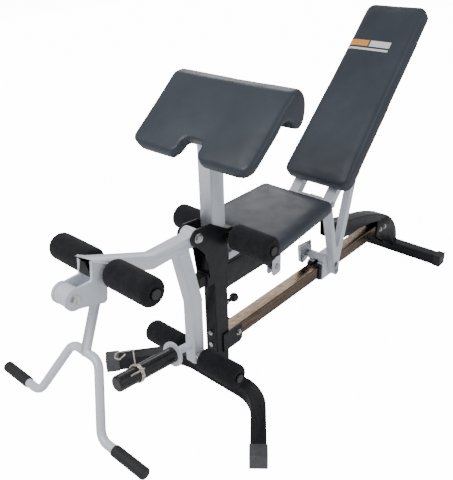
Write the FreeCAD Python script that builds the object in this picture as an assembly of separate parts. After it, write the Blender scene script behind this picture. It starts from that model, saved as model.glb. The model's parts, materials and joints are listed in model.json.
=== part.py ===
# Adjustable weight bench with a leg developer, a curl bar and a sloped arm pad.
# Millimetres. X runs across the bench, Y runs from the leg developer to the rear
# foot, Z is up and the floor is Z = 0. Sketching is done with Y = 0 on the front
# post, and every piece is moved by centre_shift when it is written out.
import FreeCAD, Part
import math
import os

os.makedirs("parts", exist_ok=True)

V = FreeCAD.Vector

# ---- driving dimensions -------------------------------------------------------
tube_wall = 2.5
plate = 5.0
gap = 0.3
run_fit = 0.06

base_height = 48.0
base_depth = 50.0
base_y = 3.0
base_corner_x = 177.0
base_bend = 150.0
base_toe_x = 350.0
base_toe_y = -211.0
base_cap_length = 48.0

post_half_x = 25.0
post_front = -25.0
post_rear = 33.0
post_top = 585.0

lever_pivot = (-92.0, 610.0)
lever_pivot_r = 8.0
ear_r = 29.0
lever_half_x = 21.0
lever_tube = 40.0

rail_half_x = 25.0
rail_bottom = 148.0
rail_top = 200.0
rail_front = 38.0
rail_rear = 1118.0

rear_foot_y = 1230.0
rear_foot_half = 262.0
rear_foot_height = 48.0

seat_pivot = (312.0, 322.0)
back_pivot = (560.0, 492.0)
back_pivot_r = 6.0

seat_front_y = 92.0
seat_rear_y = 456.0
seat_front_half = 177.0
seat_rear_half = 155.0
seat_corner = 24.0
seat_pad_top = 550.0
seat_pad_thick = 42.0
seat_slope = 2.9
board_thick = 6.0

back_pad_width_low = 284.0
back_pad_width_high = 250.0
back_pad_length = 760.0
back_pad_thick = 56.0
back_lean = 44.4
back_pad_corner = 34.0

carriage_front = 586.0
carriage_rear = 711.0
carriage_half_x = 36.0
carriage_pin = (635.0, 193.0)
carriage_pin_r = 6.0
latch_pivot = (606.0, 226.0)

strut_tube = 30.0
strut_x0 = 37.5

roller_r = 39.5
knee_roller_r = 41.5
axle_r = 12.5
upper_roller = (-408.0, 647.0)
lower_roller = (-113.0, 189.0)
knee_roller = (51.0, 563.0)
upper_reach = (34.0, 196.0)
lower_reach = (44.0, 196.0)
knee_reach = (45.0, 196.0)

curl_pivot = (-522.0, 619.0)
curl_tube_r = 12.5
curl_split_x = 55.0
curl_foot_x = 138.0
curl_bend = 40.0
fork_wall = 9.0
grip_line = (-582.0, 272.0)
grip_reach = (181.0, 306.0)
grip_r = 15.5

sleeve_r = 24.9
flange_r = 41.0
sleeve_start = (-203.0, 236.0)
sleeve_end = (-423.0, 264.0)

arm_pad_half = 231.0
arm_pad_low = (-109.0, 858.0)
arm_pad_high = (104.0, 1036.0)
arm_pad_thick = 38.0
arm_notch_half = 40.0
arm_notch_deep = 65.0

# half way between the front of the grips and the rear of the rear caps
centre_shift = -((grip_line[0] - grip_r) + (rear_foot_y + 28.0)) / 2


# ---- small helpers --------------------------------------------------------------
def box(x0, x1, y0, y1, z0, z1):
    return Part.makeBox(x1 - x0, y1 - y0, z1 - z0, V(x0, y0, z0))


def cyl_x(y, z, r, x0, x1):
    return Part.makeCylinder(r, x1 - x0, V(x0, y, z), V(1, 0, 0))


def rod(p, q, r):
    axis = q.sub(p)
    return Part.makeCylinder(r, axis.Length, p, axis)


def prism(points, x0, x1):
    """A flat YZ outline pulled from x0 to x1."""
    loop = [V(x0, y, z) for y, z in points]
    loop.append(loop[0])
    return Part.Face(Part.makePolygon(loop)).extrude(V(x1 - x0, 0, 0))


def along(p, q, low, high, x0, x1, more=0.0):
    """A bar from p to q in YZ, its section running from low to high across it."""
    dy = q[0] - p[0]
    dz = q[1] - p[1]
    n = math.hypot(dy, dz)
    uy, uz = dy / n, dz / n
    ny, nz = -uz, uy
    a = (p[0] - uy * more, p[1] - uz * more)
    b = (q[0] + uy * more, q[1] + uz * more)
    loop = [
        (a[0] + ny * low, a[1] + nz * low),
        (b[0] + ny * low, b[1] + nz * low),
        (b[0] + ny * high, b[1] + nz * high),
        (a[0] + ny * high, a[1] + nz * high),
    ]
    return prism(loop, x0, x1)


def tube(p, q, size, x0, x1, more=0.0, wall=tube_wall):
    """A hollow square tube from p to q in YZ, open at both ends."""
    outer = along(p, q, -size / 2, size / 2, x0, x1, more)
    inner = along(p, q, -size / 2 + wall, size / 2 - wall, x0 + wall, x1 - wall, more + 1)
    return outer, inner


def sweep(points, profile_width, profile_height, mid_z):
    """A rectangular bar following a plan outline of lines and one bend per corner."""
    wire = Part.Wire(points)
    start = points[0].valueAt(points[0].FirstParameter)
    after = points[0].valueAt(points[0].LastParameter)
    run = after.sub(start).normalize()
    side = V(-run.y, run.x, 0)
    corners = []
    for s, h in ((-1, -1), (1, -1), (1, 1), (-1, 1)):
        corner = start.add(side * (s * profile_width / 2))
        corners.append(V(corner.x, corner.y, mid_z + h * profile_height / 2))
    corners.append(corners[0])
    section = Part.makePolygon(corners)
    return wire.makePipeShell([section], True, False)


def fuse_all(shapes):
    whole = shapes[0].multiFuse(shapes[1:])
    return whole.removeSplitter()


def cut_all(shape, tools):
    for tool in tools:
        shape = shape.cut(tool)
    return shape


def round_edges(shape, radius, pick):
    edges = [e for e in shape.Edges if pick(e)]
    return shape.makeFillet(radius, edges)


def write(name, shape):
    piece = shape.copy()
    piece.translate(V(0, centre_shift, 0))
    if len(piece.Solids) == 1:
        piece = piece.Solids[0]
    print(name, len(piece.Solids), round(piece.Volume / 1000.0, 1), "cm3", piece.isValid())
    piece.exportStep("parts/" + name + ".step")


def mirror_x(shape):
    return shape.mirror(V(0, 0, 0), V(1, 0, 0))


def hex_bolt_x(y, z, shank_r, x0, x1, head_r, head_t, nut_t):
    """A bolt along X with a six-sided head past x1 and a nut before x0."""
    shank = cyl_x(y, z, shank_r, x0 - nut_t, x1 + head_t)
    head = six_sided(y, z, head_r, x1, x1 + head_t)
    nut = six_sided(y, z, head_r, x0 - nut_t, x0)
    return fuse_all([shank, head, nut])


def six_sided(y, z, r, x0, x1):
    points = []
    for i in range(6):
        a = math.radians(60 * i)
        points.append((y + r * math.cos(a), z + r * math.sin(a)))
    return prism(points, x0, x1)


# ---- front base, post, ears and seat arm: one welded frame ----------------------------
turn = math.atan2(base_y - base_toe_y, base_toe_x - base_corner_x)
tangent = base_bend * math.tan(turn / 2)


def base_path(margin):
    """Half-round bends join the cross run to the two splayed legs."""
    dx, dy = math.cos(turn), -math.sin(turn)
    toe = V(base_toe_x + dx * margin, base_toe_y + dy * margin, base_height / 2)
    bend_out = V(base_corner_x + dx * tangent, base_y + dy * tangent, base_height / 2)
    bend_in = V(base_corner_x - tangent, base_y, base_height / 2)
    half = turn / 2
    bend_mid = V(bend_in.x + base_bend * math.sin(half),
                 base_y - base_bend * (1 - math.cos(half)), base_height / 2)
    near = [toe, bend_out, bend_mid, bend_in]
    far = [V(-p.x, p.y, p.z) for p in near]
    return [
        Part.makeLine(near[0], near[1]),
        Part.Arc(near[1], near[2], near[3]).toShape(),
        Part.makeLine(near[3], far[3]),
        Part.Arc(far[3], far[2], far[1]).toShape(),
        Part.makeLine(far[1], far[0]),
    ]


base_outer = sweep(base_path(0.0), base_depth, base_height, base_height / 2)
base_inner = sweep(base_path(5.0), base_depth - 2 * tube_wall,
                   base_height - 2 * tube_wall, base_height / 2)

post_outer = box(-post_half_x, post_half_x, post_front, post_rear, base_height - 1, post_top)
post_hole = box(-post_half_x + 3, post_half_x - 3, post_front + 3, post_rear - 3,
                base_height + 4, post_top + 1)

ear_out = []
for side in (-1, 1):
    x0 = post_half_x if side > 0 else -post_half_x - plate
    x1 = x0 + plate
    ear = prism([(post_rear, 452), (post_rear, 592), (-36, 634), (-92, 639), (-110, 596),
                 (-60, 540), (-48, 452)], x0, x1)
    ear_out.append(ear.fuse(cyl_x(lever_pivot[0], lever_pivot[1], ear_r, x0, x1)))
ear_web = box(-post_half_x - plate, post_half_x + plate, post_front - 6, post_front, 452, 585)
bump_shelf = box(-post_half_x, post_half_x, -56, post_front, 418, 466)

seat_arm = prism([(post_rear - 1, 372), (244, 372), (252, 380), (252, 452), (244, 460),
                  (post_rear - 1, 460)], -24, 24)
seat_arm_hole = prism([(post_rear - 1, 375), (249, 375), (249, 457), (post_rear - 1, 457)],
                      -21, 21)
tongue = prism([(230, 376), (seat_pivot[0] - 14, seat_pivot[1] - 10),
                (seat_pivot[0] + 14, seat_pivot[1] + 8), (seat_pivot[0] + 4, 366), (252, 430),
                (230, 430)], -8, 8)
tongue = tongue.fuse(cyl_x(seat_pivot[0], seat_pivot[1], 17, -8, 8))

axle_block = prism([(post_rear - 1, 528), (54, 536), (76, 548), (76, 574), (66, 584),
                    (post_rear - 1, 585)], -24, 24)

# a U bracket on the post takes the front of the rail
fork = []
fork_low = rail_bottom - 16
fork_high = rail_top + 4
for side in (-1, 1):
    x0 = rail_half_x + gap if side > 0 else -rail_half_x - gap - plate
    fork.append(prism([(post_rear - 30, fork_low), (88, fork_low), (98, fork_low + 10),
                       (98, fork_high - 8), (90, fork_high), (post_rear - 30, fork_high)],
                      x0, x0 + plate))
fork_plate = box(-30, 30, post_rear - 1, post_rear + 4, fork_low, fork_high)

base_frame = fuse_all([base_outer, post_outer, ear_web, bump_shelf, seat_arm, tongue,
                       axle_block, fork_plate] + ear_out + fork)
knob_hole = Part.makeCylinder(6.3, 30, V(0, post_rear - 10, 297), V(0, 1, 0))
base_frame = cut_all(base_frame, [
    base_inner,
    post_hole,
    seat_arm_hole.cut(tongue).cut(post_outer),
    cyl_x(lever_pivot[0], lever_pivot[1], lever_pivot_r + run_fit, -40, 40),
    cyl_x(seat_pivot[0], seat_pivot[1], 6 + run_fit, -20, 20),
    cyl_x(knee_roller[0], knee_roller[1], axle_r, -40, 40),
    cyl_x(79, 174, 5.2, -40, 40),
    knob_hole,
])
write("base_frame", base_frame)

toe_dir = V(math.cos(turn), -math.sin(turn), 0)
toe_side = V(math.sin(turn), math.cos(turn), 0)


def toe_cap():
    """A moulded cap that slips over the end of a base leg."""
    end = V(base_toe_x, base_toe_y, 0)
    start = end.sub(toe_dir * (base_cap_length - 4))
    finish = end.add(toe_dir * 4.0)

    def slab(a, b, half, z0, z1):
        loop = [a.sub(toe_side * half), b.sub(toe_side * half), b.add(toe_side * half),
                a.add(toe_side * half)]
        loop = [V(p.x, p.y, z0) for p in loop]
        loop.append(loop[0])
        return Part.Face(Part.makePolygon(loop)).extrude(V(0, 0, z1 - z0))

    skin = slab(start, finish, base_depth / 2 + 3.0, 0, base_height + 3.2)
    room = slab(start.sub(toe_dir * 5), end.add(toe_dir * gap), base_depth / 2 + gap,
                -1, base_height + gap)
    cap = skin.cut(room)
    return cap


write("base_cap_near", toe_cap())
write("base_cap_far", mirror_x(toe_cap()))

bumper = box(-18, 18, -86.5, -56 - gap / 3, 424, 460)
bumper = round_edges(bumper, 5, lambda e: abs(e.CenterOfMass.y + 86.5) < 0.01)
write("lever_bumper", bumper)

for number, z in ((1, 169.0), (2, 216.0)):
    stud = Part.makeCylinder(9, 5, V(0, post_front - 5, z), V(0, 1, 0))
    stud = round_edges(stud, 2, lambda e: abs(e.CenterOfMass.y - post_front + 5) < 0.01)
    write("post_bolt_%d" % number, stud)

# ---- rail and rear frame ---------------------------------------------------------------
rail = box(-rail_half_x, rail_half_x, rail_front, rail_rear, rail_bottom, rail_top)
rail = round_edges(rail, 4, lambda e: e.Length > 500)
rail = rail.cut(box(-rail_half_x + 3, rail_half_x - 3, rail_front - 1, rail_rear + 1,
                    rail_bottom + 3, rail_top - 3))
rail = cut_all(rail, [
    cyl_x(79, 174, 5.2, -40, 40),
    cyl_x(1062, 174, 5.2, -40, 40),
    cyl_x(1100, 174, 5.2, -40, 40),
])
write("rail", rail)

arch_half = 30.0
top_line = [(652, 372), (744, 338), (832, 318), (969, 284), (1060, 252), (1130, 218),
            (1188, 172), (1228, 116), (1246, 46)]
low_line = [(1208, 46), (1168, 88), (1110, 150), (1062, 206), (960, 240), (841, 256),
            (755, 258), (656, 296)]


def spline_side(points, x):
    curve = Part.BSplineCurve()
    curve.interpolate([V(x, y, z) for y, z in points])
    return curve.toShape()


def arch_body(x0, x1, top, low):
    edges = [spline_side(top, x0),
             Part.makeLine(V(x0, *top[-1]), V(x0, *low[0])),
             spline_side(low, x0),
             Part.makeLine(V(x0, *low[-1]), V(x0, *top[0]))]
    return Part.Face(Part.Wire(edges)).extrude(V(x1 - x0, 0, 0))


arch = arch_body(-arch_half, arch_half, top_line, low_line)
arch = round_edges(arch, 5, lambda e: e.Length > 500)
arch_room = arch_body(-arch_half + 3, arch_half - 3, [(y - 3, z - 3) for y, z in top_line],
                      [(y + 2, z + 3) for y, z in low_line])
arch_mouth = prism([(640, 301), (662, 296), (662, 364), (640, 372)], -arch_half + 3,
                   arch_half - 3)
arch = arch.cut(arch_room).cut(arch_mouth)
cheeks = []
for side in (-1, 1):
    x0 = rail_half_x + gap if side > 0 else -rail_half_x - gap - plate
    cheeks.append(prism([(1034, 222), (1034, 150), (1070, 124), (1206, 30), (1228, 40),
                         (1190, 150), (1120, 216)], x0, x0 + plate))
foot = box(-rear_foot_half, rear_foot_half, rear_foot_y - 24, rear_foot_y + 24, 0,
           rear_foot_height)
foot_hole = box(-rear_foot_half - 1, rear_foot_half + 1, rear_foot_y - 24 + tube_wall,
                rear_foot_y + 24 - tube_wall, tube_wall, rear_foot_height - tube_wall)
rear_frame = fuse_all([arch, foot] + cheeks)
rear_frame = cut_all(rear_frame, [
    foot_hole,
    box(-rail_half_x - gap, rail_half_x + gap, 1000, rail_rear + 2, rail_bottom - 1,
        rail_top + gap),
    cyl_x(1062, 174, 5.2, -45, 45),
    cyl_x(1100, 174, 5.2, -45, 45),
])
write("rear_frame", rear_frame)

for name, sign in (("rear_cap_near", 1), ("rear_cap_far", -1)):
    cap = box(rear_foot_half - 26, rear_foot_half + 6, rear_foot_y - 28, rear_foot_y + 28, 0,
              rear_foot_height + 4)
    cap = round_edges(cap, 4, lambda e: abs(e.CenterOfMass.x - rear_foot_half - 6) < 0.01
                      and e.CenterOfMass.z > 5)
    cap = cap.cut(box(rear_foot_half - 40, rear_foot_half + gap, rear_foot_y - 24 - gap,
                      rear_foot_y + 24 + gap, -1, rear_foot_height + gap))
    write(name, cap if sign > 0 else mirror_x(cap))

write("rail_bolt_front", hex_bolt_x(79, 174, 5.0, -30.4, 30.4, 9, 6, 6))
write("rail_bolt_mid", hex_bolt_x(1062, 174, 5.0, -30.4, 30.4, 9, 6, 6))
write("rail_bolt_rear", hex_bolt_x(1100, 174, 5.0, -30.4, 30.4, 9, 6, 6))

# ---- leg developer lever ------------------------------------------------------------------
upper_a = (-92.0, 602.0)
upper_b = (-258.0, 600.0)
upper_c = (-455.0, 672.0)
lower_a = (-146.0, 596.0)
lower_b = (-101.0, 385.0)
lower_c = (-104.0, 158.0)
bars = []
holes = []
for p, q, size in ((upper_a, upper_b, lever_tube), (upper_b, upper_c, lever_tube),
                   (lower_a, lower_b, 44.0), (lower_b, lower_c, 44.0)):
    outer, inner = tube(p, q, size, -lever_half_x, lever_half_x)
    bars.append(outer)
    holes.append(inner)
for y, z, r in ((upper_a[0], upper_a[1], 20.0), (upper_b[0], upper_b[1], 20.0),
                (lower_b[0], lower_b[1], 22.0)):
    bars.append(cyl_x(y, z, r, -lever_half_x, lever_half_x))
arm_hub = cyl_x(lever_pivot[0], lever_pivot[1], 24, -24.7, 24.7)
cheek_plate = []
for side in (-1, 1):
    x0 = lever_half_x if side > 0 else -lever_half_x - fork_wall
    x1 = x0 + fork_wall
    cheek = prism([(-396, 662), (-462, 700), (-468, 648), (-520, 646), (-526, 592),
                   (-440, 566), (-428, 574), (-424, 612)], x0, x1)
    cheek_plate.append(cheek.fuse(cyl_x(curl_pivot[0], curl_pivot[1], 30, x0, x1)))
sleeve_dir = V(0, sleeve_end[0] - sleeve_start[0], sleeve_end[1] - sleeve_start[1]).normalize()
flange_at = V(0, sleeve_start[0], sleeve_start[1])
stub_root = flange_at.sub(sleeve_dir * 85)
stub_tip = flange_at.add(sleeve_dir * 212)
stub = rod(stub_root, stub_tip, 13.0)
flange = rod(flange_at.sub(sleeve_dir * 5), flange_at, flange_r)
lever = fuse_all(bars + [arm_hub] + cheek_plate + [stub, flange])
lever_cuts = [h for h in holes]
lever_cuts[0] = along((-112, 602), upper_b, -17.5, 17.5, -18.5, 18.5)
lever_cuts[2] = along((-142, 578), lower_b, -19.5, 19.5, -18.5, 18.5)
keep = fuse_all([arm_hub, stub])
lever = cut_all(lever, [h.cut(keep) for h in lever_cuts])
lever = cut_all(lever, [
    cyl_x(lever_pivot[0], lever_pivot[1], lever_pivot_r + run_fit, -40, 40),
    cyl_x(curl_pivot[0], curl_pivot[1], 8.0 + run_fit, -40, 40),
    cyl_x(upper_roller[0], upper_roller[1], axle_r, -40, 40),
    cyl_x(lower_roller[0], lower_roller[1], axle_r, -40, 40),
])
write("lever", lever)

# a moulded plug closes the front end of the upper bar
nose_dir = (upper_c[0] - upper_b[0], upper_c[1] - upper_b[1])
nose_len = math.hypot(*nose_dir)
nose_dir = (nose_dir[0] / nose_len, nose_dir[1] / nose_len)


def on_nose(s):
    return (upper_c[0] + nose_dir[0] * s, upper_c[1] + nose_dir[1] * s)


plug_core = along(on_nose(-24), on_nose(3), -17.5, 17.5, -18.5, 18.5)
plug_face = along(on_nose(gap / 3), on_nose(7), -20, 20, -lever_half_x + gap / 3,
                  lever_half_x - gap / 3)
write("lever_end_plug", plug_core.fuse(plug_face))
write("lever_pivot_bolt", hex_bolt_x(lever_pivot[0], lever_pivot[1], lever_pivot_r,
                                     -30.3, 30.3, 13, 8, 8))


def foam_roller(y, z, r, reach, side):
    foam = cyl_x(y, z, r, reach[0], reach[1])
    foam = round_edges(foam, 9, lambda e: e.Length > 200)
    foam = foam.cut(cyl_x(y, z, axle_r + run_fit, reach[0] - 1, reach[1] + 1))
    return foam if side > 0 else mirror_x(foam)


def axle(y, z, reach):
    bar = cyl_x(y, z, axle_r, -reach[1] - 1, reach[1] + 1)
    bar = bar.cut(cyl_x(y, z, axle_r - 2.5, -reach[1] - 2, reach[1] + 2))
    return bar


def axle_plug(y, z, reach, side):
    face = cyl_x(y, z, axle_r + 1.5, reach[1] + 1.2, reach[1] + 4.2)
    face = round_edges(face, 1.5, lambda e: abs(e.CenterOfMass.x - reach[1] - 4.2) < 0.01)
    core = cyl_x(y, z, axle_r - 2.5, reach[1] - 14, reach[1] + 2)
    plug = face.fuse(core)
    return plug if side > 0 else mirror_x(plug)


for group, spot, r, reach in (("upper", upper_roller, roller_r, upper_reach),
                              ("lower", lower_roller, roller_r, lower_reach),
                              ("knee", knee_roller, knee_roller_r, knee_reach)):
    write(group + "_axle", axle(spot[0], spot[1], reach))
    for side_name, side in (("near", 1), ("far", -1)):
        write(group + "_roller_" + side_name, foam_roller(spot[0], spot[1], r, reach, side))
        write(group + "_plug_" + side_name, axle_plug(spot[0], spot[1], reach, side))

# ---- curl bar -----------------------------------------------------------------------------
stem_top = V(0, -441, 580)
stem_low = V(0, -501, 432)
hub = cyl_x(curl_pivot[0], curl_pivot[1], 28, -20.7, 20.7)
neck = along((curl_pivot[0], curl_pivot[1] - 2), (-441, 588), -14, 14, -13, 13)
elbow = cyl_x(-441, 588, 14, -13, 13)
stem = rod(stem_top, stem_low, curl_tube_r + 1.5)


def bent_rod(points, bend, r):
    """A round rod through the points, every inner corner bent to one radius."""
    edges = []
    start = points[0]
    for i in range(1, len(points) - 1):
        back = points[i - 1].sub(points[i]).normalize()
        ahead = points[i + 1].sub(points[i]).normalize()
        half = back.getAngle(ahead) / 2
        reach = bend / math.tan(half)
        p0 = points[i].add(back * reach)
        p1 = points[i].add(ahead * reach)
        inward = back.add(ahead).normalize()
        middle = points[i].add(inward * (bend / math.sin(half) - bend))
        edges.append(Part.makeLine(start, p0))
        edges.append(Part.Arc(p0, middle, p1).toShape())
        start = p1
    edges.append(Part.makeLine(start, points[-1]))
    ring = Part.Wire([Part.makeCircle(r, points[0], points[1].sub(points[0]))])
    return Part.Wire(edges).makePipeShell([ring], True, False)


curl_arm = bent_rod([stem_low, V(curl_split_x, stem_low.y, stem_low.z),
                     V(curl_foot_x, grip_line[0], grip_line[1]),
                     V(grip_reach[1] - 6, grip_line[0], grip_line[1])],
                    curl_bend, curl_tube_r)
curl_bar = fuse_all([hub, neck, elbow, stem, curl_arm, mirror_x(curl_arm),
                     Part.makeSphere(curl_tube_r + 1.4, stem_low)])
curl_bar = curl_bar.cut(cyl_x(curl_pivot[0], curl_pivot[1], 8.0 + run_fit, -40, 40))
write("curl_bar", curl_bar)
curl_bolt_x = lever_half_x + fork_wall + gap
write("curl_pivot_bolt", hex_bolt_x(curl_pivot[0], curl_pivot[1], 8.0, -curl_bolt_x, curl_bolt_x,
                                    12, 7, 7))
for name, side in (("grip_near", 1), ("grip_far", -1)):
    grip = cyl_x(grip_line[0], grip_line[1], grip_r, grip_reach[0] + 12, grip_reach[1])
    grip = round_edges(grip, 4, lambda e: abs(e.CenterOfMass.x - grip_reach[1]) < 0.01)
    grip = grip.cut(cyl_x(grip_line[0], grip_line[1], curl_tube_r + 0.5, 170, 300.5))
    write(name, grip if side > 0 else mirror_x(grip))

# ---- weight sleeve and spring collar ----------------------------------------------------------
sleeve = rod(flange_at.add(sleeve_dir * gap), flange_at.add(sleeve_dir * 221), sleeve_r)
sleeve = round_edges(sleeve, 7, lambda e: e.CenterOfMass.y < -400)
sleeve = sleeve.cut(rod(flange_at, flange_at.add(sleeve_dir * 213), 13.0 + run_fit))
write("weight_sleeve", sleeve)

collar_wire = 2.2
collar_arm_r = 1.9
collar_ball = 2.5
collar_at = 136.0
coil_pitch = 4.0
ring_r = sleeve_r + gap + collar_wire
top_dir = V(0, -sleeve_dir.z, sleeve_dir.y)
top_dir = top_dir if top_dir.z > 0 else top_dir * -1
collar_parts = []
for i in range(4):
    spot = flange_at.add(sleeve_dir * (collar_at + coil_pitch * i))
    collar_parts.append(Part.makeTorus(ring_r, collar_wire, spot, sleeve_dir))


def wire_run(points):
    """A round wire through the points with a small ball at every corner."""
    run = []
    for p, q in zip(points, points[1:]):
        run.append(rod(p, q, collar_arm_r))
        run.append(Part.makeSphere(collar_ball, q))
    return run


def from_coil(turn, out, forward, across):
    """A point measured from the top of one turn: outwards, towards the tip and across."""
    spot = flange_at.add(sleeve_dir * (collar_at + coil_pitch * turn + forward))
    return spot.add(top_dir * (ring_r + out)).add(V(across, 0, 0))


# one wire end rises into a tall hand loop, the other runs beside the sleeve
tall_loop = [from_coil(3, 0, 0, 0), from_coil(3, 56, 4, -6), from_coil(3, 80, 70, 0),
             from_coil(3, 68, 78, 2), from_coil(3, 54, 62, 3)]
side_bar = [from_coil(0, -5.5, 0, 17), from_coil(0, 1, -26, 27), from_coil(0, 1, 54, 27)]
collar_parts += wire_run(tall_loop) + wire_run(side_bar)
collar = collar_parts[0].multiFuse(collar_parts[1:])
write("spring_collar", collar)

# ---- arm pad and its post ---------------------------------------------------------------------
sheath = box(-post_half_x, post_half_x, post_front, post_rear, 606, 880)
stem_inner = box(-post_half_x + 3.3, post_half_x - 3.3, post_front + 3.3, post_rear - 3.3,
                 176, 640)
slope = math.atan2(arm_pad_high[1] - arm_pad_low[1], arm_pad_high[0] - arm_pad_low[0])
su = (math.cos(slope), math.sin(slope))
sn = (-math.sin(slope), math.cos(slope))


def on_slope(s, d):
    """Point s along the pad face from its low edge, d above it."""
    return (arm_pad_low[0] + su[0] * s + sn[0] * d, arm_pad_low[1] + su[1] * s + sn[1] * d)


under = -arm_pad_thick
plate_top = under - gap / 3
carrier = prism([on_slope(66, plate_top), on_slope(148, plate_top),
                 on_slope(148, plate_top - 5), on_slope(66, plate_top - 5)], -70, 70)
above = prism([on_slope(-100, plate_top - 1), on_slope(400, plate_top - 1),
               on_slope(400, 300), on_slope(-100, 300)], -200, 200)
sheath = sheath.cut(above)
arm_post = fuse_all([sheath, stem_inner, carrier])
arm_post = cut_all(arm_post, [
    box(-18.7, 18.7, post_front + 6.3, post_rear - 6.3, 170, 700),
    box(-5, 5, post_rear - 8, post_rear - 2, 190, 301.3),
])
write("arm_post", arm_post)

face_len = math.hypot(arm_pad_high[0] - arm_pad_low[0], arm_pad_high[1] - arm_pad_low[1])


def at_pad_end(p):
    return V(-arm_pad_half, p[0], p[1])


def arc_yz(p, q, r):
    return Part.Arc(at_pad_end(p), at_pad_end(q), at_pad_end(r)).toShape()


def line_yz(p, q):
    return Part.makeLine(at_pad_end(p), at_pad_end(q))


# the sloped face rolls over the top into a hooked rear lip with a hollow under it
face_low = on_slope(0, -9)
face_turn = on_slope(7, 0)
face_high = on_slope(face_len - 14, 0)
roll_top = (132, 1030)
roll_rear = (156, 986)
lip_rear = (151, 938)
lip_low = (126, 913)
lip_inner = (110, 915)
hollow_rear = (94, 942)
hollow_top = (74, 953)
hollow_front = (49, 950)
under_high = on_slope(150, under)
under_low = on_slope(0, under)
arm_edges = [
    line_yz(face_low, face_turn),
    line_yz(face_turn, face_high),
    arc_yz(face_high, roll_top, roll_rear),
    arc_yz(roll_rear, lip_rear, lip_low),
    line_yz(lip_low, lip_inner),
    line_yz(lip_inner, hollow_rear),
    arc_yz(hollow_rear, hollow_top, hollow_front),
    line_yz(hollow_front, under_high),
    line_yz(under_high, under_low),
    line_yz(under_low, face_low),
]
arm_pad = Part.Face(Part.Wire(arm_edges)).extrude(V(2 * arm_pad_half, 0, 0))
notch_tool = Part.makeBox(2 * arm_notch_half, arm_notch_deep + 40, 200,
                          V(-arm_notch_half, -40, -100))
notch_tool = round_edges(notch_tool, 18, lambda e: abs(e.tangentAt(e.FirstParameter).z) > 0.9
                         and e.CenterOfMass.y > 0)
notch_tool.rotate(V(0, 0, 0), V(1, 0, 0), math.degrees(slope))
notch_tool.translate(V(0, arm_pad_low[0], arm_pad_low[1]))
arm_pad = arm_pad.cut(notch_tool)
write("arm_pad", arm_pad)

knob_pin = Part.makeCylinder(4, 62, V(0, post_rear - 7, 297), V(0, 1, 0))
knob_ball = Part.makeSphere(16, V(0, 92, 297))
knob_neck = Part.makeCylinder(7, 14, V(0, 66, 297), V(0, 1, 0))
write("post_knob", fuse_all([knob_pin, knob_neck, knob_ball]))
housing = Part.makeCylinder(10, 24, V(0, post_rear + gap / 6, 297), V(0, 1, 0))
housing = housing.fuse(Part.makeCylinder(6.2, 30, V(0, post_rear - 2.8, 297), V(0, 1, 0)))
housing = housing.cut(Part.makeCylinder(4 + run_fit, 60, V(0, 20, 297), V(0, 1, 0)))
write("knob_housing", housing)

# ---- seat ------------------------------------------------------------------------------------
seat_a = (45.0, 486.0)
seat_b = (520.0, 508.0)
seat_outer = along(seat_a, seat_b, -13, 13, -25, 25)
seat_inner = along(seat_a, seat_b, -10.5, 10.5, -22.5, 22.5, 1)
barrel = cyl_x(back_pivot[0], back_pivot[1], 16, -71, 37)
lug = prism([(500, 520), (500, 492), (552, 477), (572, 480), (572, 506), (552, 508)], -25, 25)
hanger = []
for side in (-1, 1):
    x0 = 9.0 if side > 0 else -14.0
    hanger.append(prism([(288, 486), (288, 298), (297, 288), (329, 288), (338, 298), (338, 486)],
                        x0, x0 + plate))
tilt = math.radians(seat_slope)


def on_seat(s, d):
    """Point s back from the front edge of the seat, d below its top."""
    return (seat_front_y + s * math.cos(tilt) + d * math.sin(tilt),
            seat_pad_top + s * math.sin(tilt) - d * math.cos(tilt))


seat_ties = []
under_board = seat_pad_thick + board_thick + 2 * gap
for s in (28.0, 290.0):
    seat_ties.append(prism([on_seat(s, under_board), on_seat(s + 30, under_board),
                            on_seat(s + 30, under_board + 6), on_seat(s, under_board + 6)],
                           -110, 110))
seat_frame = fuse_all([seat_outer, barrel, lug] + hanger + seat_ties)
seat_frame = cut_all(seat_frame, [
    seat_inner.cut(lug),
    cyl_x(back_pivot[0], back_pivot[1], back_pivot_r + run_fit, -150, 150),
    cyl_x(seat_pivot[0], seat_pivot[1], 6.0 + run_fit, -40, 40),
])
write("seat_frame", seat_frame)
write("seat_pivot_bolt", hex_bolt_x(seat_pivot[0], seat_pivot[1], 6.0, -14.3, 14.3, 10, 6, 6))

seat_plan = [(-seat_front_half, seat_front_y), (seat_front_half, seat_front_y),
             (seat_rear_half, seat_rear_y), (0, seat_rear_y + 12), (-seat_rear_half, seat_rear_y)]


def seat_slab(z0, z1, shrink, corner):
    loop = [V(x - math.copysign(shrink, x) if x else 0.0,
              y + (shrink if y < 200 else -shrink), 0) for x, y in seat_plan]
    loop.append(loop[0])
    slab = Part.Face(Part.makePolygon(loop)).extrude(V(0, 0, z1 - z0))
    slab = round_edges(slab, corner, lambda e: abs(e.tangentAt(e.FirstParameter).z) > 0.9
                       and abs(e.CenterOfMass.x) > 50)
    slab.translate(V(0, 0, z0))
    slab.rotate(V(0, seat_front_y, seat_pad_top), V(1, 0, 0), seat_slope)
    return slab


seat_pad = seat_slab(seat_pad_top - seat_pad_thick, seat_pad_top, 0.0, seat_corner)
write("seat_pad", seat_pad)
seat_board = seat_slab(seat_pad_top - seat_pad_thick - board_thick - gap,
                       seat_pad_top - seat_pad_thick - gap, 14.0, seat_corner - 8)
write("seat_board", seat_board)

# ---- back rest --------------------------------------------------------------------------------
lean = math.radians(back_lean)
bu = (math.sin(lean), math.cos(lean))
bn = (-math.cos(lean), math.sin(lean))


def on_back(s, d):
    """Point s up the back rest from its pivot, d in front of the frame line."""
    return (back_pivot[0] + bu[0] * s + bn[0] * d, back_pivot[1] + bu[1] * s + bn[1] * d)


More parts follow.
